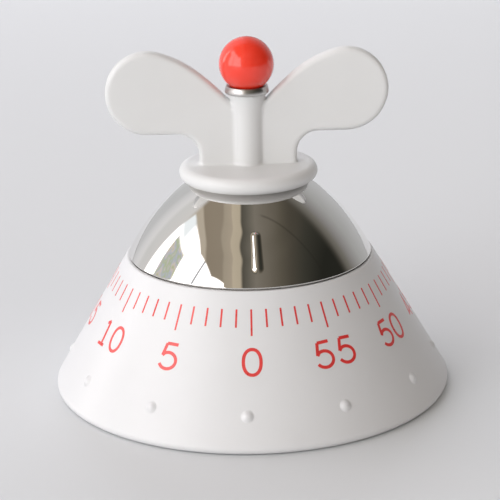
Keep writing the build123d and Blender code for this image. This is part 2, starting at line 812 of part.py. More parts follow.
def balance_ring():
    ring = tube(BALANCE_R, BALANCE_R - 1.4, 17.6, 19.2)
    flat = (Align.CENTER, Align.CENTER, Align.MIN)
    arm = Pos(0, 0, 18.1) * Box(2 * BALANCE_R - 1.6, 1.4, 0.8, align=flat)
    ring += arm + rod(1.8, 18.1, 18.9) - rod(ARBOR_R, 18, 19)
    return place(PALLET_AT, ring)


def alarm_arbor():
    body = arbor() + rod(1.6, 26.1, 26.7)
    return place(ALARM_AT, body)


def alarm_lever():
    lever = rod(2.2, 26.7, 27.4, ALARM_AT)
    lever += bar(ALARM_AT, NOSE_AT, 1.6, 26.7, 27.4)
    lever += bar(ALARM_AT, polar(26.5, 22), 1.6, 26.7, 27.4)
    return lever - rod(ARBOR_R, 26.7, 27.4, ALARM_AT)


def head_centre():
    x, y = polar(BELL_R + HEAD_R + HEAD_GAP, HEAD_ANGLE)
    return (BELL_AT[0] + x, BELL_AT[1] + y)


def hammer_arbor():
    body = rod(HAMMER_ARBOR_R, 8.0, UPPER_Z0 - END_SHAKE, HAMMER_AT)
    body += rod(PIVOT_R, 28, UPPER_Z1 - 0.2, HAMMER_AT)
    body += rod(2.2, 13.4, LOWER_Z0 - END_SHAKE, HAMMER_AT)
    return body + rod(2.2, 22.0, 23.0, HAMMER_AT)


def hammer_arm():
    arm = bar(HAMMER_AT, head_centre(), 1.8, 9.0, 10.0)
    arm += rod(2.4, 9.0, 10.0, HAMMER_AT)
    arm -= rod(HAMMER_ARBOR_R, 9.0, 10.0, HAMMER_AT)
    return arm - rod(0.9, 9.0, 10.0, head_centre())


def hammer_head():
    at = head_centre()
    head = rod(HEAD_R, 6.6, 9.0, at) + rod(0.9, 9.0, 10.0, at)
    return head + rod(1.5, 10.0, 10.4, at)


PARTS = (
    base_shell, bottom_cover, rubber_feet, cover_screws,
    lower_plate, upper_plate, plate_pillars, pillar_screws, movement_screws,
    thrust_washer, spring_post, mainspring,
    bell_cup, bell_post, bell_screw, hammer_spring, alarm_spring,
    chrome_dome, wing_knob, ball_ring, knob_ball, knob_stud,
    drive_hub, dome_screws, main_arbor, great_wheel, ratchet_wheel, clicks, alarm_cam,
    second_wheel, second_arbor, third_wheel, third_arbor,
    escape_wheel, escape_arbor, pallet_anchor, pallet_arbor, balance_ring,
    alarm_arbor, alarm_lever, hammer_arbor, hammer_arm, hammer_head,
)

for make in PARTS:
    export_step(make(), "parts/" + make.__name__ + ".step")
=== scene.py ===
import json
import math
import bpy
import numpy as np
from mathutils import Matrix, Vector


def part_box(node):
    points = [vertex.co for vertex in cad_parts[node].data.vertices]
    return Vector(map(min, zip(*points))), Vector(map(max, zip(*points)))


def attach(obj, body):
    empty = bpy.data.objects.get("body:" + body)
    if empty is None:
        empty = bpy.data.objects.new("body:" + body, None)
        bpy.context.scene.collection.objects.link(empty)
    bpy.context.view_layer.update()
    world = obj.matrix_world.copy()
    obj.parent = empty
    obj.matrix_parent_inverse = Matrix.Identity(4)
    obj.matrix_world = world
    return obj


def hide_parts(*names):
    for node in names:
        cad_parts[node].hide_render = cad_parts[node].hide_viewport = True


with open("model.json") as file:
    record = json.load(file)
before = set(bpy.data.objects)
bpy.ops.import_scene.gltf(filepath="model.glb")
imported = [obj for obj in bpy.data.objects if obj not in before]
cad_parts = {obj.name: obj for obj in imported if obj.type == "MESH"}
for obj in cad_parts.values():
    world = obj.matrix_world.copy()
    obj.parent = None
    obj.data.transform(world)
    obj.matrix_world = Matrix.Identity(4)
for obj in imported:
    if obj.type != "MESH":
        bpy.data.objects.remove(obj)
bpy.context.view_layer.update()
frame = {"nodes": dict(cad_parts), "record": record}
MM = 0.001

# ---- dimensions in millimetres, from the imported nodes' boxes where a box gives them ----


def node_mm(node):
    low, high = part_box(node)
    return [v / MM for v in low], [v / MM for v in high]


SHELL_LOW, SHELL_HIGH = node_mm("base_shell")
DOME_LOW, DOME_HIGH = node_mm("chrome_dome")
KNOB_LOW, _ = node_mm("wing_knob")
RING_LOW, RING_HIGH = node_mm("ball_ring")
BALL_LOW, BALL_HIGH = node_mm("knob_ball")
BALL_R = (BALL_HIGH[0] - BALL_LOW[0]) / 2
BALL_Z = BALL_HIGH[2] - BALL_R

# base shell: a cone whose outer radius is CONE_R0 - CONE_SLOPE * z
CONE_R0 = 56.34
CONE_SLOPE = 0.588
CONE_TILT = math.atan(CONE_SLOPE)
WALL = 3.1
EDGE_ROUND = 1.4
LIP_BORE_R = 33.3
LIP_ROUND = 0.45
LIP_INNER_ROUND = 0.15
DECK_Z0 = 33.0
DECK_Z1 = 34.6
DECK_HOLE_R = 7.0
NUB_COUNT = 12
NUB_R = 1.95
NUB_SINK = 1.28
NUB_FOOT = 0.45
NUB_REACH = 2.5
NUB_Z = 9.3
NUB_TURN = -1.65

# chrome dome: an arc of ARC_R round (ARC_X, ARC_Z), with a skirt below its edge
ARC_X = -17.83
ARC_Z = 11.57
ARC_R = 57.97
DOME_T = 0.8
DOME_EDGE_Z = 37.95
DOME_EDGE_ROUND = 0.3
DOME_SKIRT_R = 33.0
DOME_BORE_R = 4.0
RIB_Z0 = 42.9
RIB_Z1 = 50.0
RIB_MARGIN = 4.0
RIB_H = 0.45
RIB_TOP_W = 1.45
RIB_LOW_W = 1.75
RIB_TURN = 3.6

# wing knob: flange, stem and a plate with two round-tipped wings
REST_TURN = 2.0
FLANGE_R = 19.0
FLANGE_H = 4.4
STEM_R = 4.37
STEM_TOP_R = 5.2
STEM_FLARE_H = 6.5
STEM_ROUND = 0.35
WING_T = 4.6
WING_ROUND = 1.25
WING_FOOT_X = 13.4
WING_FOOT_Z = 60.0
WING_BEND_R = 5.8
WING_TOP = ((20.4, 93.0), (14.2, 89.5), (8.0, 84.1), (3.8, 79.7))
WING_TOP_SLOPE = 1.05
TIP_X = 27.0
TIP_Z = 83.3
TIP_R = 11.4
KNOB_BLEND = 0.5

# ring under the ball, and the ball's mould line
RING_BORE_R = 1.6
RING_FOOT_R = 2.4
RING_CORNER = 0.5
RING_FACE_R = 3.0
RING_FACE_TURN = 30.0
RING_LIP = 0.15
RING_CREVICE_R = 4.5
RING_SEAT_GAP = 0.02
BALL_SEAM_H = 0.012
BALL_SEAM_W = 0.12

# printed scale
TICK_TOP_Z = 33.54
TICK_LOW_Z = 29.35
MAJOR_LOW_Z = 27.47
TICK_W = 0.5
NUMERAL_Z = 21.5
NUMERAL_H = 7.6
NUMERAL_GAP = 1.95
NUMERAL_TILT = 0.26
STROKE = 0.88
STROKE_STEP = 0.35
PRINT_H = 0.03
PRINT_ROOT = -0.05
PRINT_LAYER = 0.002

# mesh steps: degrees round the axis, millimetres along a profile
SHELL_STEP = 2.0
NUB_HALF_TURN = 2.4
NUB_STEP_TURN = 0.16
NUB_BAND = 2.1
NUB_STEP = 0.15
DOME_STEP = 1.5
RIB_HALF_TURN = 6.0
RIB_STEP_TURN = 0.1
RING_STEP = 2.5
BALL_STEP = 2.0
KNOB_CELL = 0.5
NET_PROBE = 0.02
NET_PULLS = 6
AXIS_R = 1e-6

# surface relief in metres, and noise scales per metre
FLOW_SCALE = 60.0
GRAIN_SCALE = 2600.0
GRAIN_DEPTH = 0.00001
SMUDGE_SCALE = 90.0
POLISH_STRETCH = (40.0, 40.0, 2500.0)
POLISH_STREAK = 0.3
POLISH_DEPTH = 0.0000004
BRUSH_STRETCH = (900.0, 60.0, 900.0)
BRUSH_STREAK = 0.3
BRUSH_DEPTH = 0.000003
TONE_SCALE = 220.0
FILM_SCALE = 700.0
INK_IOR = 1.7


# ---- materials ----


class Nodes:
    """Short calls for building one node tree."""

    def __init__(self, tree):
        self.tree = tree
        tree.nodes.clear()

    def new(self, kind, **settings):
        node = self.tree.nodes.new(kind)
        for key, value in settings.items():
            setattr(node, key, value)
        return node

    def link(self, source, target):
        self.tree.links.new(source, target)

    def feed(self, socket, value):
        """Links a socket, or sets a plain value."""
        if isinstance(value, bpy.types.NodeSocket):
            self.link(value, socket)
        else:
            socket.default_value = value

    def math(self, operation, a, b=0.0, c=0.0):
        node = self.new("ShaderNodeMath", operation=operation)
        for socket, value in zip(node.inputs, (a, b, c)):
            self.feed(socket, value)
        return node.outputs[0]

    def map_range(self, kind, ends):
        node = self.new("ShaderNodeMapRange", interpolation_type=kind)
        for name, end in zip(("Value", "From Min", "From Max", "To Min", "To Max"), ends):
            self.feed(node.inputs[name], end)
        return node.outputs["Result"]

    def smooth(self, value, low, high, out_low=0.0, out_high=1.0):
        return self.map_range("SMOOTHSTEP", (value, low, high, out_low, out_high))

    def linear(self, value, low, high, out_low=0.0, out_high=1.0):
        return self.map_range("LINEAR", (value, low, high, out_low, out_high))

    def mix(self, factor, a, b):
        node = self.new("ShaderNodeMix", data_type="RGBA")
        self.feed(node.inputs["Factor"], factor)
        for socket, value in ((node.inputs[6], a), (node.inputs[7], b)):
            self.feed(socket, value if not isinstance(value, tuple) else (*value, 1.0))
        return node.outputs[2]

    def ramp(self, value, stops):
        node = self.new("ShaderNodeValToRGB")
        self.feed(node.inputs[0], value)
        points = node.color_ramp.elements
        while len(points) < len(stops):
            points.new(0.5)
        for point, (position, colour) in zip(points, stops):
            point.position = position
            point.color = (*colour, 1.0)
        return node.outputs[0]

    def tones(self, value, low, high, stops):
        """Colour along a value that runs from low to high; each stop is (value, colour)."""
        share = self.linear(value, low, high)
        return self.ramp(share, [((v - low) / (high - low), colour) for v, colour in stops])

    def noise(self, vector, scale, detail, roughness=0.5):
        node = self.new("ShaderNodeTexNoise")
        self.feed(node.inputs["Vector"], vector)
        node.inputs["Scale"].default_value = scale
        node.inputs["Detail"].default_value = detail
        node.inputs["Roughness"].default_value = roughness
        return node.outputs["Fac"]

    def bump(self, height, strength, distance):
        node = self.new("ShaderNodeBump")
        node.inputs["Strength"].default_value = strength
        node.inputs["Distance"].default_value = distance
        self.feed(node.inputs["Height"], height)
        return node.outputs["Normal"]

    def stretched(self, position, scale):
        node = self.new("ShaderNodeMapping")
        self.link(position, node.inputs["Vector"])
        node.inputs["Scale"].default_value = scale
        return node.outputs[0]


def material(name):
    """(material, its nodes, its shader, the object coordinates)"""
    mat = bpy.data.materials.new(name)
    mat.use_nodes = True
    n = Nodes(mat.node_tree)
    out = n.new("ShaderNodeOutputMaterial")
    shader = n.new("ShaderNodeBsdfPrincipled")
    n.link(shader.outputs[0], out.inputs[0])
    position = n.new("ShaderNodeTexCoord").outputs["Object"]
    return mat, n, shader, position


def plastic(name, colour, rough, mottle, grain, coat=0.0, coat_rough=0.1, ior=1.5):
    """Moulded plastic: faint flow mottling, a fine moulded grain and uneven gloss."""
    mat, n, shader, position = material(name)
    wide = n.noise(position, FLOW_SCALE, 3.0)
    fine = n.noise(position, GRAIN_SCALE, 2.0)
    pale = tuple(min(1.0, c * (1 + mottle)) for c in colour)
    deep = tuple(c * (1 - mottle) for c in colour)
    n.link(n.mix(n.smooth(wide, 0.35, 0.65), deep, pale), shader.inputs["Base Color"])
    n.link(n.linear(wide, 0.3, 0.7, rough * 0.92, rough * 1.08), shader.inputs["Roughness"])
    n.link(n.bump(fine, grain, GRAIN_DEPTH), shader.inputs["Normal"])
    shader.inputs["IOR"].default_value = ior
    shader.inputs["Coat Weight"].default_value = coat
    shader.inputs["Coat Roughness"].default_value = coat_rough
    return mat


def plated(name, colour, rough):
    """Polished plate: faint polishing marks round the axis and light smudges."""
    mat, n, shader, position = material(name)
    shader.inputs["Metallic"].default_value = 1.0
    smudge = n.noise(position, SMUDGE_SCALE, 4.0, 0.6)
    tint = tuple(c * 0.975 for c in colour)
    n.link(n.mix(n.smooth(smudge, 0.4, 0.7), colour, tint), shader.inputs["Base Color"])
    n.link(n.smooth(smudge, 0.45, 0.75, rough, rough * 2.2), shader.inputs["Roughness"])
    marks = n.noise(n.stretched(position, POLISH_STRETCH), 1.0, 2.0)
    n.link(n.bump(marks, POLISH_STREAK, POLISH_DEPTH), shader.inputs["Normal"])
    return mat


def machined(name, colour, rough):
    """Rolled or turned metal with fine brushed lines and a slightly uneven tone."""
    mat, n, shader, position = material(name)
    shader.inputs["Metallic"].default_value = 1.0
    brush = n.noise(n.stretched(position, BRUSH_STRETCH), 1.0, 3.0)
    tone = n.noise(position, TONE_SCALE, 3.0)
    deep = tuple(c * 0.86 for c in colour)
    n.link(n.mix(n.smooth(tone, 0.35, 0.7), colour, deep), shader.inputs["Base Color"])
    n.link(n.linear(brush, 0.3, 0.7, rough * 0.8, rough * 1.3), shader.inputs["Roughness"])
    n.link(n.bump(brush, BRUSH_STREAK, BRUSH_DEPTH), shader.inputs["Normal"])
    return mat


def printed(name, colour):
    """Gloss ink with a slightly uneven film."""
    mat, n, shader, position = material(name)
    film = n.noise(position, FILM_SCALE, 3.0)
    deep = tuple(c * 0.9 for c in colour)
    n.link(n.mix(n.smooth(film, 0.35, 0.65), deep, colour), shader.inputs["Base Color"])
    n.link(n.linear(film, 0.3, 0.7, 0.27, 0.33), shader.inputs["Roughness"])
    shader.inputs["IOR"].default_value = INK_IOR
    return mat


SHELL_WHITE = plastic("shell_white", (0.68, 0.68, 0.69), 0.34, mottle=0.008, grain=0.3)
KNOB_WHITE = plastic("knob_white", (0.69, 0.692, 0.692), 0.36, mottle=0.008, grain=0.3)
BALL_RED = plastic(
    "ball_red", (0.85, 0.042, 0.019), 0.25, mottle=0.02, grain=0.12, coat=0.9, coat_rough=0.06, ior=1.42
)
CHROME = plated("chrome_plate", (0.85, 0.84, 0.82), 0.015)
RING_CHROME = plated("ring_plate", (0.62, 0.61, 0.60), 0.29)
INK = printed("scale_ink", (0.74, 0.04, 0.036))
COVER_WHITE = plastic("cover_white", (0.62, 0.62, 0.61), 0.55, mottle=0.03, grain=0.6)
RUBBER = plastic("foot_rubber", (0.025, 0.025, 0.026), 0.75, mottle=0.12, grain=1.0)
BRASS = machined("brass", (0.72, 0.52, 0.23), 0.28)
STEEL = machined("steel", (0.56, 0.56, 0.57), 0.26)
BLUED = machined("blued_steel", (0.12, 0.15, 0.27), 0.22)
BELL = plated("bell_plate", (0.80, 0.80, 0.79), 0.06)

FINISH = {
    "white_shell": SHELL_WHITE,
    "white_knob": KNOB_WHITE,
    "red_ball": BALL_RED,
    "chrome": CHROME,
    "cover": COVER_WHITE,
    "rubber": RUBBER,
    "brass": BRASS,
    "steel": STEEL,
    "spring_steel": BLUED,
    "bell": BELL,
}

for part in frame["record"]["subparts"]:
    obj = frame["nodes"][part["node"]]
    obj.data.materials.clear()
    obj.data.materials.append(FINISH[part["material_slot"]])


# ---- mesh builders ----


def piece(name, verts_mm, faces, finish, body, replaced=(), sharp_angle=40.0):
    """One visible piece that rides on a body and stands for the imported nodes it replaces."""
    mesh = bpy.data.meshes.new(name)
    mesh.from_pydata([tuple(v) for v in np.asarray(verts_mm) * MM], [], faces)
    mesh.validate()
    mesh.update()
    obj = bpy.data.objects.new(name, mesh)
    bpy.context.scene.collection.objects.link(obj)
    mesh.materials.append(finish)
    mesh.shade_smooth()
    mesh.set_sharp_from_angle(angle=math.radians(sharp_angle))
    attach(obj, body)
    if replaced:
        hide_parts(*replaced)


def arc(cx, cz, radius, start, end, steps):
    """Points of an arc in the (radius, height) plane, both ends included."""
    angles = np.radians(np.linspace(start, end, steps + 1))
    return [(cx + radius * math.cos(a), cz + radius * math.sin(a)) for a in angles]


def run(start, end, steps):
    """Points of a straight run, without its last point."""
    return [
        (start[0] + (end[0] - start[0]) * i / steps, start[1] + (end[1] - start[1]) * i / steps)
        for i in range(steps)
    ]


def spread(coarse, centres, half_width, fine):
    """Angles round a full turn, close together within half_width of each centre."""
    angles = set(np.round(np.arange(0.0, 360.0, coarse), 4))
    for c in centres:
        near = np.arange(-half_width, half_width + fine / 2, fine)
        angles = {a for a in angles if abs((a - c + 180) % 360 - 180) > half_width}
        angles |= set(np.round((c + near) % 360, 4))
    return np.radians(sorted(angles))


def lathe(profile, angles, push=None):
    """A closed profile, or one from axis to axis, turned round Z.

    push(r, z, angles) gives the radial and vertical shift of a profile point at each angle.
    """
    profile = np.array(profile)
    count = len(angles)
    verts = []
    rings = []
    for r, z in profile:
        if r < AXIS_R:
            rings.append([len(verts)])
            verts.append((0.0, 0.0, z))
            continue
        rings.append(list(range(len(verts), len(verts) + count)))
        shift_r, shift_z = push(r, z, angles) if push else (0.0, 0.0)
        radii = np.full(count, r) + shift_r
        heights = np.full(count, z) + shift_z
        verts += list(zip(radii * np.cos(angles), radii * np.sin(angles), heights))
    closed = profile[0][0] > AXIS_R
    pairs = list(zip(rings, rings[1:]))
    if closed:
        pairs.append((rings[-1], rings[0]))
    faces = []
    for low, high in pairs:
        for i in range(count):
            j = (i + 1) % count
            if len(low) == 1:
                faces.append((low[0], high[j], high[i]))
            elif len(high) == 1:
                faces.append((low[i], low[j], high[0]))
            else:
                faces.append((low[i], low[j], high[j], high[i]))
    return verts, faces


def smooth_max(a, b, k):
    """The larger of a and b, rounded where they meet within k."""
    gap = np.maximum(k - np.abs(a - b), 0.0)
    return np.maximum(a, b) + gap * gap / (4 * k)


def bead_height(distance, radius, sink, k):
    """Height of a round bead of this radius, sunk into a surface, with a soft foot."""
    inside = np.sqrt(np.maximum(radius * radius - distance * distance, 0.0)) - sink
    beyond = -sink - (distance - radius)
    return smooth_max(np.where(distance < radius, inside, beyond), 0.0, k)


def turn_gap(angles, centre):
    """Signed angle from centre, within half a turn."""
    return (angles - centre + math.pi) % (2 * math.pi) - math.pi


# ---- base shell with its moulded bumps ----


def cone_r(z):
    return CONE_R0 - CONE_SLOPE * z


def nub_push(r, z, angles):
    """The ring of moulded grip bumps on the outer wall."""
    surface = cone_r(z)
    if abs(r - surface) > 0.01:
        return 0.0, 0.0
    along = (z - NUB_Z) / math.cos(CONE_TILT)
    if abs(along) > NUB_REACH:
        return 0.0, 0.0
    step = 2 * math.pi / NUB_COUNT
    first = math.radians(-90 + NUB_TURN)
    across = (turn_gap(angles, first) + step / 2) % step - step / 2
    height = bead_height(np.hypot(along, across * surface), NUB_R, NUB_SINK, NUB_FOOT)
    return height * math.cos(CONE_TILT), height * math.sin(CONE_TILT)


def shell_piece():
    z0 = SHELL_LOW[2]
    top = SHELL_HIGH[2]
    # the corner between floor face and cone, rounded
    corner = math.radians(90) - CONE_TILT
    cut = EDGE_ROUND / math.tan(corner / 2)
    foot = arc(cone_r(z0) - cut, z0 + EDGE_ROUND, EDGE_ROUND, -90, math.degrees(CONE_TILT), 10)
    foot_top = foot[-1][1]
    lip_turn = LIP_ROUND * math.tan((math.radians(90) - CONE_TILT) / 2)
    lip_x = cone_r(top) - lip_turn
    lip = arc(lip_x, top - LIP_ROUND, LIP_ROUND, math.degrees(CONE_TILT), 90, 8)
    # the wall, in close steps where the bumps are
    heights = list(np.linspace(foot_top, NUB_Z - NUB_BAND, 8)[:-1])
    heights += list(np.arange(NUB_Z - NUB_BAND, NUB_Z + NUB_BAND, NUB_STEP))
    heights += list(np.linspace(NUB_Z + NUB_BAND, lip[0][1], 30)[:-1])
    profile = foot[:-1] + [(cone_r(z), z) for z in heights] + lip
    profile += arc(LIP_BORE_R + LIP_INNER_ROUND, top - LIP_INNER_ROUND, LIP_INNER_ROUND, 90, 180, 4)
    profile += [
        (LIP_BORE_R, DECK_Z1),
        (DECK_HOLE_R, DECK_Z1),
        (DECK_HOLE_R, DECK_Z0),
        (cone_r(DECK_Z0) - WALL, DECK_Z0),
        (cone_r(z0) - WALL, z0),
    ]
    nubs = [(-90 + NUB_TURN + 360 / NUB_COUNT * i) % 360 for i in range(NUB_COUNT)]
    angles = spread(SHELL_STEP, nubs, NUB_HALF_TURN, NUB_STEP_TURN)
    verts, faces = lathe(profile, angles, nub_push)
    piece("shell", verts, faces, SHELL_WHITE, "base", ("base_shell",))


# ---- chrome dome with its pointer rib ----


def arc_r(z, radius):
    """Radius from the axis, at height z, of an arc round the dome's centre."""
    return ARC_X + math.sqrt(radius * radius - (z - ARC_Z) ** 2)


def rib_push(r, z, angles):
    """A pressed rib: a smooth rounded ridge, a little wider at its lower end."""
    if z < RIB_Z0 - RIB_MARGIN or z > RIB_Z1 + RIB_MARGIN or abs(r - arc_r(z, ARC_R)) > 0.01:
        return 0.0, 0.0
    tilt = math.atan2(z - ARC_Z, r - ARC_X)
    low = math.asin((RIB_Z0 - ARC_Z) / ARC_R)
    high = math.asin((RIB_Z1 - ARC_Z) / ARC_R)
    along = ARC_R * max(low - tilt, tilt - high, 0.0)
    across = turn_gap(angles, math.radians(-90 + RIB_TURN)) * r
    share = min(max((tilt - low) / (high - low), 0.0), 1.0)
    reach = RIB_LOW_W + (RIB_TOP_W - RIB_LOW_W) * share
    distance = np.minimum(np.hypot(along, across) / reach, 1.0)
    height = RIB_H / 2 * (1 + np.cos(math.pi * distance))
    return height * math.cos(tilt), height * math.sin(tilt)


def dome_piece():
    z0, top = DOME_LOW[2], DOME_HIGH[2]
    inner_r = DOME_SKIRT_R - DOME_T
    # the hem: a small round between the underside of the edge and the dome's arc
    hem_z = DOME_EDGE_Z + DOME_EDGE_ROUND
    hem_r = arc_r(hem_z, ARC_R - DOME_EDGE_ROUND)
    start = math.degrees(math.atan2(hem_z - ARC_Z, hem_r - ARC_X))
    end = math.degrees(math.asin((top - ARC_Z) / ARC_R))
    profile = run((DOME_SKIRT_R, z0), (DOME_SKIRT_R, DOME_EDGE_Z), 4)
    profile += [(DOME_SKIRT_R, DOME_EDGE_Z)]
    profile += arc(hem_r, hem_z, DOME_EDGE_ROUND, -90, start, 12)[:-1]
    profile += arc(ARC_X, ARC_Z, ARC_R, start, end, 130)
    profile += [(DOME_BORE_R, top), (DOME_BORE_R, top - DOME_T)]
    inner_arc = ARC_R - DOME_T
    end_in = math.degrees(math.asin((top - DOME_T - ARC_Z) / inner_arc))
    start_in = math.degrees(math.acos((inner_r - ARC_X) / inner_arc))
    profile += arc(ARC_X, ARC_Z, inner_arc, end_in, start_in, 30)
    profile += [(inner_r, z0)]
    angles = spread(DOME_STEP, [(-90 + RIB_TURN) % 360], RIB_HALF_TURN, RIB_STEP_TURN)
    verts, faces = lathe(profile, angles, rib_push)
    piece("dome", verts, faces, CHROME, "dial", ("chrome_dome",))


# ---- wing knob: one moulding, meshed from its distance field ----


def curve_through(points, start_slope, end_slope, steps):
    """A smooth curve through points, with these end tangents."""
    p = np.array(points, float)
    t = np.zeros_like(p)
    t[1:-1] = (p[2:] - p[:-2]) / 2
    t[0] = np.array(start_slope) * np.linalg.norm(p[1] - p[0])
    t[-1] = np.array(end_slope) * np.linalg.norm(p[-1] - p[-2])
    out = []
    for i in range(len(p) - 1):
        for u in np.arange(steps) / steps:
            a = 2 * u ** 3 - 3 * u ** 2 + 1
            b = u ** 3 - 2 * u ** 2 + u
            c = -2 * u ** 3 + 3 * u ** 2
            d = u ** 3 - u ** 2
            out.append(tuple(a * p[i] + b * t[i] + c * p[i + 1] + d * t[i + 1]))
    return out + [tuple(p[-1])]


def wing_outline():
    """Outline of the wing plate: from its foot round the tip to the notch, and mirrored."""
    bend_z = TIP_Z - TIP_R - WING_BEND_R
    right = [(WING_FOOT_X, WING_FOOT_Z), (WING_FOOT_X, bend_z)]
    right += arc(WING_FOOT_X + WING_BEND_R, bend_z, WING_BEND_R, 180, 90, 16)[1:]
    right += arc(TIP_X, TIP_Z, TIP_R, -90, 90, 60)
    scale = 1 / math.hypot(1, WING_TOP_SLOPE)
    right += curve_through(
        [(TIP_X, TIP_Z + TIP_R), *WING_TOP], (-1, 0), (-scale, -WING_TOP_SLOPE * scale), 8
    )[1:]
    left = [(-x, z) for x, z in reversed(right)]
    return np.array(right + left)


def outline_distance(x, z, outline):
    """Signed distance to a closed outline, negative inside."""
    best = np.full(x.shape, 1e9)
    inside = np.zeros(x.shape, bool)
    for (ax, az), (bx, bz) in zip(outline, np.roll(outline, -1, axis=0)):
        ex, ez = bx - ax, bz - az
        length = ex * ex + ez * ez
        if length < 1e-12:
            continue
        t = np.clip(((x - ax) * ex + (z - az) * ez) / length, 0.0, 1.0)
        best = np.minimum(best, (x - ax - t * ex) ** 2 + (z - az - t * ez) ** 2)
        if abs(ez) > 1e-12:
            crosses = ((az > z) != (bz > z)) & (x < ax + (z - az) / ez * ex)
            inside ^= crosses
    return np.where(inside, -1.0, 1.0) * np.sqrt(best)


def smooth_min(a, b, k):
    return -smooth_max(-a, -b, k)


def rounded_meet(a, b, radius):
    """Signed distance to where two solids overlap, its corner rounded to this radius."""
    corner = np.hypot(np.maximum(a + radius, 0), np.maximum(b + radius, 0))
    return corner + np.minimum(np.maximum(a, b) + radius, 0) - radius


def knob_distance(x, y, z, outline):
    """Signed distance to the knob, negative inside."""
    flange_mid = KNOB_LOW[2] + FLANGE_H / 2
    stem_top = RING_LOW[2]
    radial = np.hypot(x, y)
    plate = rounded_meet(outline_distance(x, z, outline), np.abs(y) - WING_T / 2, WING_ROUND)
    rim = np.maximum(radial - FLANGE_R + FLANGE_H / 2, 0)
    flange = np.hypot(rim, z - flange_mid) - FLANGE_H / 2
    flare = np.clip((z - stem_top + STEM_FLARE_H) / STEM_FLARE_H, 0.0, 1.0)
    side = radial - STEM_R - (STEM_TOP_R - STEM_R) * flare ** 2
    stem = rounded_meet(side, np.maximum(z - stem_top, flange_mid - z), STEM_ROUND)
    return smooth_min(smooth_min(plate, stem, KNOB_BLEND), flange, KNOB_BLEND)


def net_mesh(field, low, high, cell):
    """Surface net of a signed distance field: a vertex in each crossed cell, pulled onto the surface."""
    axes = [np.arange(a, b + cell, cell) for a, b in zip(low, high)]
    grid = field(*np.meshgrid(*axes, indexing="ij"))
    sign = grid < 0
    nx, ny, nz = sign.shape
    total = np.zeros((nx - 1, ny - 1, nz - 1), int)
    for i in (0, 1):
        for j in (0, 1):
            for k in (0, 1):
                total += sign[i:nx - 1 + i, j:ny - 1 + j, k:nz - 1 + k]
    active = (total > 0) & (total < 8)
    index = np.full(active.shape, -1)
    cells = np.argwhere(active)
    index[active] = np.arange(len(cells))
    verts = np.array(low) + (cells + 0.5) * cell
    faces = []
    for axis in range(3):
        a, b = (axis + 1) % 3, (axis + 2) % 3
        near = np.take(sign, range(sign.shape[axis] - 1), axis)
        far = np.take(sign, range(1, sign.shape[axis]), axis)
        for spot in np.argwhere(near != far):
            if spot[a] == 0 or spot[b] == 0:
                continue
            if spot[a] >= active.shape[a] or spot[b] >= active.shape[b]:
                continue
            quad = []
            for da, db in ((0, 0), (1, 0), (1, 1), (0, 1)):
                c = spot.copy()
                c[a] -= da
                c[b] -= db
                quad.append(int(index[tuple(c)]))
            faces.append(tuple(quad if near[tuple(spot)] else reversed(quad)))
    for _ in range(NET_PULLS):
        here = field(*verts.T)
        slope = np.stack([
            (field(*(verts + step).T) - field(*(verts - step).T)) / (2 * NET_PROBE)
            for step in NET_PROBE * np.eye(3)
        ], axis=1)
        size = np.maximum((slope ** 2).sum(axis=1), 0.2)
        verts = verts - (here / size)[:, None] * slope
    return verts, faces


def knob_piece():
    outline = wing_outline()

    def field(x, y, z):
        return knob_distance(x, y, z, outline)

    low = (-TIP_X - TIP_R - 1.3, -FLANGE_R - 1.3, KNOB_LOW[2] - 1.2)
    high = (TIP_X + TIP_R + 1.3, FLANGE_R + 1.3, TIP_Z + TIP_R + 1.2)
    verts, faces = net_mesh(field, low, high, KNOB_CELL)
    turn = np.array(Matrix.Rotation(math.radians(REST_TURN), 3, "Z"))
    piece("knob", verts @ turn.T, faces, KNOB_WHITE, "dial", ("wing_knob",), 60.0)


# ---- ring and ball ----


def ring_piece():
    z0 = RING_LOW[2]
    outer = RING_HIGH[0]
    # a rounded lower corner, a gently curved outer face, a thin lip and a crevice round the ball
    profile = [(RING_BORE_R, z0)] + run((RING_FOOT_R, z0), (outer - RING_CORNER, z0), 3)
    profile += arc(outer - RING_CORNER, z0 + RING_CORNER, RING_CORNER, -90, 0, 10)
    profile += arc(outer - RING_FACE_R, z0 + RING_CORNER, RING_FACE_R, 0, RING_FACE_TURN, 20)[1:]
    head_x, head_z = profile[-1]
    turn = math.radians(RING_FACE_TURN)
    lip_x = head_x - RING_LIP * math.cos(turn)
    lip_z = head_z - RING_LIP * math.sin(turn)
    profile += arc(lip_x, lip_z, RING_LIP, RING_FACE_TURN, 180, 10)[1:]
    seat = np.linspace(RING_CREVICE_R, RING_BORE_R, 10)
    profile += [(r, BALL_Z - math.sqrt(BALL_R ** 2 - r * r) - RING_SEAT_GAP) for r in seat]
    verts, faces = lathe(profile, np.radians(np.arange(0, 360, RING_STEP)))
    piece("ring", verts, faces, RING_CHROME, "dial", ("ball_ring",), 50.0)


def ball_piece():
    # the levels lie close together at the faint mould line round the middle
    levels = (np.linspace(-90, -3, 60), np.linspace(-2.7, 2.7, 25), np.linspace(3, 90, 60))
    profile = []
    for a in np.radians(np.concatenate(levels)):
        seam = BALL_SEAM_H * math.exp(-((a * BALL_R) / BALL_SEAM_W) ** 2)
        r = (BALL_R + seam) * math.cos(a)
        profile.append((0.0 if r < 1e-4 else r, BALL_Z + (BALL_R + seam) * math.sin(a)))
    verts, faces = lathe(profile, np.radians(np.arange(0, 360, BALL_STEP)))
    piece("ball", verts, faces, BALL_RED, "dial", ("knob_ball",), 80.0)


# ---- printed scale, a thin film that follows the cone ----


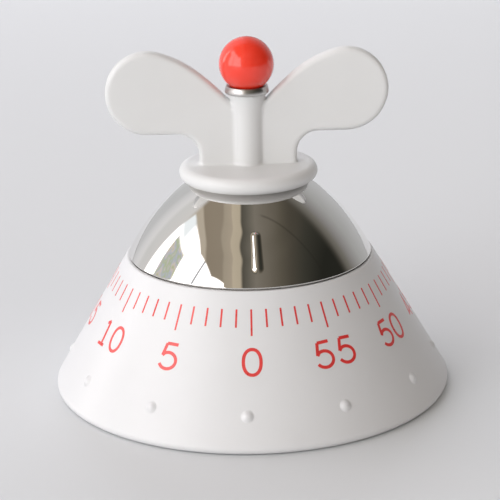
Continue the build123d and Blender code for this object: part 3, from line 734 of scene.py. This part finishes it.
def on_cone(points, turn, centre_z, lift):
    """Flat drawing points (x right, y up the slope) rolled onto the cone round a heading."""
    sine = math.sin(CONE_TILT)
    apex = cone_r(centre_z) / sine
    x = points[:, 0]
    y = points[:, 1]
    reach = np.hypot(x, apex - y)
    angle = np.radians(turn - 90) + np.arctan2(x, apex - y) / sine
    r = reach * sine
    z = (CONE_R0 - r) / CONE_SLOPE
    r = r + lift * math.cos(CONE_TILT)
    z = z + lift * math.sin(CONE_TILT)
    return np.stack([r * np.cos(angle), r * np.sin(angle), z], axis=1)


def resample(points, closed):
    """The drawn line in steps no longer than STROKE_STEP."""
    p = np.array(points, float)
    if closed:
        p = np.vstack([p, p[:1]])
    out = [p[0]]
    for a, b in zip(p[:-1], p[1:]):
        count = max(1, int(math.ceil(np.linalg.norm(b - a) / STROKE_STEP)))
        out += [a + (b - a) * i / count for i in range(1, count + 1)]
    return np.array(out[:-1] if closed else out)


def stroke(points, width, closed, turn, centre_z, lift):
    """A closed thin band along a drawn line, laid on the cone."""
    p = resample(points, closed)
    ahead = np.roll(p, -1, axis=0) - p
    behind = p - np.roll(p, 1, axis=0)
    if not closed:
        ahead[-1] = behind[-1]
        behind[0] = ahead[0]
    ahead /= np.linalg.norm(ahead, axis=1)[:, None]
    behind /= np.linalg.norm(behind, axis=1)[:, None]
    middle = ahead + behind
    middle /= np.linalg.norm(middle, axis=1)[:, None]
    cosine = np.maximum((middle * ahead).sum(axis=1), 0.5)
    offset = np.stack([-middle[:, 1], middle[:, 0]], axis=1) * (width / 2 / cosine)[:, None]
    left, right = p + offset, p - offset
    rows = [(left, lift), (right, lift), (right, PRINT_ROOT), (left, PRINT_ROOT)]
    verts = np.concatenate([on_cone(q, turn, centre_z, h) for q, h in rows])
    n = len(p)
    faces = []
    for i in range(n if closed else n - 1):
        j = (i + 1) % n
        for a, b in ((0, 1), (1, 2), (2, 3), (3, 0)):
            faces.append((a * n + i, b * n + i, b * n + j, a * n + j))
    if not closed:
        faces.append((0, 3 * n, 2 * n, n))
        faces.append((n - 1, 2 * n - 1, 3 * n - 1, 4 * n - 1))
    return verts, faces


def gather(bands):
    """Several meshes as one."""
    verts, faces = [], []
    for v, f in bands:
        start = sum(len(q) for q in verts)
        verts.append(v)
        faces += [tuple(i + start for i in face) for face in f]
    return np.concatenate(verts), faces


def oval(cx, cy, rx, ry, start, end, steps):
    """Part of an ellipse, both ends included."""
    angles = np.radians(np.linspace(start, end, steps + 1))
    return [(cx + rx * math.cos(a), cy + ry * math.sin(a)) for a in angles]


def full_oval(cx, cy, rx, ry, squareness, steps):
    """A closed oval, a little squarer than an ellipse."""
    angles = np.radians(np.arange(steps) * 360 / steps)
    power = 2 / squareness
    c, q = np.cos(angles), np.sin(angles)
    x = cx + rx * np.sign(c) * np.abs(c) ** power
    y = cy + ry * np.sign(q) * np.abs(q) ** power
    return list(zip(x, y))


def digit(character):
    """(width, strokes) of a plain geometric numeral; each stroke is (points, closed)."""
    h = NUMERAL_H - STROKE
    if character == "0":
        return 4.6, [(full_oval(2.3, h / 2, 2.3, h / 2, 2.2, 48), True)]
    if character == "1":
        return 4.1, [([(2.1, 0), (2.1, h)], False), ([(2.2, h), (0.8, h - 0.8)], False),
                     ([(0.0, 0), (3.4, 0)], False)]
    if character == "2":
        hook = oval(2.25, h - 2.15, 2.2, 2.15, 165, -38, 24)
        return 4.5, [(hook + [(0.1, 0.0), (4.6, 0.0)], False)]
    if character == "3":
        upper = oval(2.1, h - 1.65, 1.9, 1.65, 150, -90, 22)
        lower = oval(2.1, 2.1, 2.3, 2.1, 90, -150, 24)
        return 4.4, [(upper, False), (lower, False)]
    if character == "4":
        return 4.9, [([(3.4, 0), (3.4, h), (0.1, 1.9), (4.8, 1.9)], False)]
    bowl = [(0.5, 3.4)] + oval(2.3, 2.18, 2.48, 2.18, 118, -153, 34)
    return 4.8, [([(4.5, h), (1.26, h)], False), ([(1.26, h), bowl[0]], False), (bowl, False)]


def scale_pieces():
    """Sixty ticks and twelve numerals; the minutes run clockwise, seen from above."""
    ticks = []
    centre = (TICK_TOP_Z + TICK_LOW_Z) / 2
    for minute in range(60):
        low = MAJOR_LOW_Z if minute % 5 == 0 else TICK_LOW_Z
        ends = [(0.0, (z - centre) / math.cos(CONE_TILT)) for z in (low, TICK_TOP_Z)]
        ticks.append(stroke(ends, TICK_W, False, -6.0 * minute, centre, PRINT_H))
    verts, faces = gather(ticks)
    piece("scale_ticks", verts, faces, INK, "base")
    bands = []
    for minute in range(0, 60, 5):
        glyphs = [digit(c) for c in str(minute)]
        wide = sum(w for w, _ in glyphs) + NUMERAL_GAP * (len(glyphs) - 1)
        x = -wide / 2
        rise = NUMERAL_TILT * math.sin(math.radians(-6.0 * minute))
        for width, strokes in glyphs:
            for k, (points, closed) in enumerate(strokes):
                moved = [(px + x, py - (NUMERAL_H - STROKE) / 2 + rise) for px, py in points]
                lift = PRINT_H + PRINT_LAYER * k
                bands.append(stroke(moved, STROKE, closed, -6.0 * minute, NUMERAL_Z, lift))
            x += width + NUMERAL_GAP
    verts, faces = gather(bands)
    piece("scale_numerals", verts, faces, INK, "base")


shell_piece()
dome_piece()
knob_piece()
ring_piece()
ball_piece()
scale_pieces()


# ---- floor, surroundings, lights and camera ----

FLOOR_HALF = 4.0
FLOOR_DEEP = (0.658, 0.672, 0.688)
FLOOR_PALE = (0.668, 0.682, 0.698)

# The room as the chrome mirrors it, by direction: x runs right and y back, as parts of a unit vector;
# lift is degrees above the horizon and heading is degrees to the right of the front. A pair of values
# is where something begins and where it is complete.
FRONT_TONES = (
    (-0.61, (0.512, 0.447, 0.36)), (-0.585, (0.294, 0.245, 0.185)), (-0.40, (0.305, 0.256, 0.196)),
    (-0.37, (0.392, 0.338, 0.262)), (-0.27, (0.436, 0.371, 0.289)), (-0.25, (0.534, 0.458, 0.349)),
    (-0.145, (0.501, 0.431, 0.327)), (-0.115, (0.093, 0.085, 0.068)), (-0.04, (0.131, 0.12, 0.098)),
    (0.08, (0.207, 0.185, 0.153)), (0.25, (0.167, 0.147, 0.118)), (0.42, (0.114, 0.1, 0.076)),
    (0.56, (0.074, 0.065, 0.05)), (0.70, (0.045, 0.043, 0.034)), (0.86, (0.02, 0.02, 0.016)),
)
RIGHT_WALL_TONES = (
    (0.05, (0.03, 0.028, 0.022)), (0.18, (0.09, 0.082, 0.068)), (0.30, (0.17, 0.16, 0.14)),
    (0.42, (0.27, 0.26, 0.255)), (0.60, (0.39, 0.39, 0.385)), (0.90, (0.50, 0.50, 0.51)),
)
LEFT_WALL_TONES = (
    (-170.0, (0.64, 0.645, 0.66)), (-155.0, (0.57, 0.575, 0.585)), (-144.8, (0.58, 0.58, 0.59)),
    (-140.0, (0.66, 0.66, 0.67)), (-135.2, (0.73, 0.72, 0.735)), (-131.0, (0.76, 0.75, 0.755)),
    (-126.2, (0.67, 0.665, 0.66)), (-116.0, (0.69, 0.675, 0.665)),
)
LEFT_WALL_SPAN = (-170.0, -110.0)
LEAF_TONES = (
    (0.36, (0.66, 0.60, 0.66)), (0.46, (0.50, 0.56, 0.38)), (0.52, (0.52, 0.55, 0.62)),
    (0.60, (0.70, 0.62, 0.56)), (0.72, (0.44, 0.52, 0.28)),
)
LEAF_SCALE = 8.0
FOLD_RATE = 0.33
FOLD_START = -2.02
FOLD_DEPTH = -0.018
FOLD_LOW_LIFT = (44.0, 54.0)
FOLD_HIGH_LIFT = (76.0, 66.0)
CABLE_Y = -0.19
CABLE_EDGE = (0.022, 0.0)
CABLE_X = (0.12, 0.22)
CABLE_TONE = (0.02, 0.018, 0.014)
CABLE_SHARE = 0.35
RIGHT_WALL_X = (-0.1, 0.3)
RIGHT_WALL_Y = (0.09, 0.27)
LEFT_WALL_X = (0.15, -0.15)
LEFT_WALL_Y = (0.20, 0.30)
WINDOW_LIGHT = (2.80, 2.68, 2.66)
WINDOW_EDGE_SOFT = 0.012
WINDOW_TOP_LIFT = (49.5, 46.5)
JAMB_SOFT = (-2.0, 1.0)
SKY_IN_WINDOW = (0.98, 1.03, 1.06)
SKY_HEADING = (-88.0, -98.0)
SKY_LIFT = (34.0, 40.0)
LEAF_LEFT_HEADING = (-105.0, -102.5)
LEAF_RIGHT_HEADING = (-80.0, -83.5)
LEAF_LIFT = (38.0, 35.0)
BAR_EDGE = (1.7, 0.6)
BAR_LIFT = (45.0, 43.0)
BAR_TONE = (0.46, 0.47, 0.49)

# soft lights: name, heading and lift in degrees as above, watts in red, green and blue
SOFT_LIGHTS = (
    ("fill_front", 0, 18, (2.8, 2.8, 2.9)),
    ("fill_front_high", 0, 48, (4.7, 4.7, 4.7)),
    ("fill_front_right", 45, 18, (3.1, 2.8, 2.7)),
    ("fill_high_right", 45, 48, (1.5, 1.2, 0.9)),
    ("fill_back", 180, 18, (17.0, 17.7, 19.4)),
    ("fill_back_left", 225, 48, (8.0, 7.6, 7.8)),
    ("fill_left", 270, 48, (2.2, 2.1, 2.7)),
    ("fill_front_left", 315, 18, (6.3, 7.2, 7.4)),
)
LIGHT_DISTANCE = 2.0
LIGHT_SIZE = 1.2
LIGHT_AIM_Z = 0.03

# camera: its focal length in widths of the picture, its angles in radians and its place in metres
FOCAL_WIDTHS = 1890.2 / 500
SENSOR_MM = 36.0
CAMERA_PITCH = 0.3185
CAMERA_ROLL = -0.0196
CAMERA_Y = -0.5
CAMERA_Z = 0.20264


def floor():
    mesh = bpy.data.meshes.new("floor")
    corners = [
        (-FLOOR_HALF, -FLOOR_HALF, 0), (FLOOR_HALF, -FLOOR_HALF, 0),
        (FLOOR_HALF, FLOOR_HALF, 0), (-FLOOR_HALF, FLOOR_HALF, 0),
    ]
    mesh.from_pydata(corners, [], [(0, 1, 2, 3)])
    obj = bpy.data.objects.new("floor", mesh)
    bpy.context.scene.collection.objects.link(obj)
    mat, n, shader, position = material("floor_paper")
    tone = n.noise(position, 3.0, 2.0)
    n.link(n.mix(tone, FLOOR_DEEP, FLOOR_PALE), shader.inputs["Base Color"])
    shader.inputs["Roughness"].default_value = 0.7
    mesh.materials.append(mat)


def front_colour(n, x, y, lift):
    """A curtain on the left with waving folds, then a dim room with one thin dark line across it."""
    wave = n.math("SINE", n.math("MULTIPLY_ADD", lift, FOLD_RATE, FOLD_START))
    swing = n.math("MULTIPLY", n.smooth(lift, *FOLD_LOW_LIFT), n.smooth(lift, *FOLD_HIGH_LIFT))
    sway = n.math("MULTIPLY", wave, n.math("MULTIPLY", swing, FOLD_DEPTH))
    front = n.tones(n.math("ADD", x, sway), -1.0, 1.0, FRONT_TONES)
    cable = n.smooth(n.math("ABSOLUTE", n.math("SUBTRACT", y, CABLE_Y)), *CABLE_EDGE)
    cable = n.math("MULTIPLY", cable, n.smooth(x, *CABLE_X))
    return n.mix(n.math("MULTIPLY", cable, CABLE_SHARE), front, CABLE_TONE)


def wall_colour(n, x, y, heading, front):
    """The front with the right wall, and then the back and left walls, laid over it."""
    right_wall = n.tones(y, 0.0, 1.0, RIGHT_WALL_TONES)
    on_right = n.math("MULTIPLY", n.smooth(x, *RIGHT_WALL_X), n.smooth(y, *RIGHT_WALL_Y))
    colour = n.mix(on_right, front, right_wall)
    left_wall = n.tones(heading, *LEFT_WALL_SPAN, LEFT_WALL_TONES)
    on_left = n.math("MULTIPLY", n.smooth(y, *LEFT_WALL_Y), n.smooth(x, *LEFT_WALL_X))
    return n.mix(on_left, colour, left_wall)


def window_share(n, x, y, heading, lift):
    """Where the window is: its right edge follows the curtain and its left edge is the jamb."""
    low_edge = n.linear(y, -0.30, -0.58, -0.655, -0.54)
    edge = n.math("ADD", low_edge, n.linear(y, -0.58, -0.71, 0.0, 0.16))
    pane = n.smooth(n.math("SUBTRACT", edge, x), -WINDOW_EDGE_SOFT, WINDOW_EDGE_SOFT)
    pane = n.math("MULTIPLY", pane, n.smooth(lift, *WINDOW_TOP_LIFT))
    jamb = n.linear(lift, 12.0, 45.0, -115.5, -108.5)
    return n.math("MULTIPLY", pane, n.smooth(n.math("SUBTRACT", heading, jamb), *JAMB_SOFT))


def window_colour(n, direction, heading, lift):
    """Bright glass with blue sky on its left, garden tones low in it and one thin glazing bar."""
    blue = n.math("MULTIPLY", n.smooth(heading, *SKY_HEADING), n.smooth(lift, *SKY_LIFT))
    glass = n.mix(blue, WINDOW_LIGHT, SKY_IN_WINDOW)
    leaves = n.ramp(n.noise(direction, LEAF_SCALE, 2.0), LEAF_TONES)
    garden = n.math(
        "MULTIPLY", n.smooth(heading, *LEAF_LEFT_HEADING), n.smooth(heading, *LEAF_RIGHT_HEADING)
    )
    garden = n.math("MULTIPLY", garden, n.smooth(lift, *LEAF_LIFT))
    glass = n.mix(garden, glass, leaves)
    bar_at = n.linear(lift, 30.0, 43.0, -60.0, -55.5)
    bar = n.smooth(n.math("ABSOLUTE", n.math("SUBTRACT", heading, bar_at)), *BAR_EDGE)
    return n.mix(n.math("MULTIPLY", bar, n.smooth(lift, *BAR_LIFT)), glass, BAR_TONE)


def surroundings():
    """A pale room: a window on the left, a curtain beside it, a dim front and light walls."""
    world = bpy.data.worlds.new("room")
    world.use_nodes = True
    bpy.context.scene.world = world
    n = Nodes(world.node_tree)
    out = n.new("ShaderNodeOutputWorld")
    sky = n.new("ShaderNodeBackground")
    n.link(sky.outputs[0], out.inputs[0])
    direction = n.new("ShaderNodeTexCoord").outputs["Generated"]
    split = n.new("ShaderNodeSeparateXYZ")
    n.link(direction, split.inputs[0])
    x, y, z = split.outputs
    to_degrees = 180 / math.pi
    heading = n.math("ARCTAN2", x, n.math("MULTIPLY", y, -1.0))
    heading = n.math("MULTIPLY", heading, to_degrees)
    lift = n.math("MULTIPLY", n.math("ARCSINE", z), to_degrees)
    room = wall_colour(n, x, y, heading, front_colour(n, x, y, lift))
    pane = window_share(n, x, y, heading, lift)
    glass = window_colour(n, direction, heading, lift)
    n.link(n.mix(pane, room, glass), sky.inputs[0])
    sky.inputs[1].default_value = 1.0


def soft_light(name, heading, lift, colour_watts):
    """A wide soft light aimed at the object, that leaves no highlight of its own."""
    turn, rise = math.radians(heading), math.radians(lift)
    level = math.cos(rise)
    place = Vector((math.sin(turn) * level, -math.cos(turn) * level, math.sin(rise)))
    data = bpy.data.lights.new(name, "AREA")
    data.shape = "DISK"
    data.size = LIGHT_SIZE
    data.energy = max(colour_watts)
    data.color = [c / data.energy for c in colour_watts]
    obj = bpy.data.objects.new(name, data)
    obj.location = place * LIGHT_DISTANCE
    aim = Vector((0.0, 0.0, LIGHT_AIM_Z)) - obj.location
    obj.rotation_euler = aim.to_track_quat("-Z", "Y").to_euler()
    obj.visible_glossy = False
    obj.visible_camera = False
    bpy.context.scene.collection.objects.link(obj)


def camera():
    data = bpy.data.cameras.new("camera")
    data.sensor_width = SENSOR_MM
    data.lens = FOCAL_WIDTHS * SENSOR_MM
    obj = bpy.data.objects.new("camera", data)
    bpy.context.scene.collection.objects.link(obj)
    look = np.array([0.0, math.cos(CAMERA_PITCH), -math.sin(CAMERA_PITCH)])
    level_right = np.array([1.0, 0.0, 0.0])
    level_up = np.cross(level_right, look)
    right = level_right * math.cos(CAMERA_ROLL) + level_up * math.sin(CAMERA_ROLL)
    up = level_up * math.cos(CAMERA_ROLL) - level_right * math.sin(CAMERA_ROLL)
    place = Matrix.Identity(4)
    for row in range(3):
        place[row][0] = right[row]
        place[row][1] = up[row]
        place[row][2] = -look[row]
    place[1][3] = CAMERA_Y
    place[2][3] = CAMERA_Z
    obj.matrix_world = place
    bpy.context.scene.camera = obj


floor()
surroundings()
for soft in SOFT_LIGHTS:
    soft_light(*soft)
camera()
bpy.context.scene.view_settings.view_transform = "Standard"
bpy.context.scene.view_settings.look = "None"
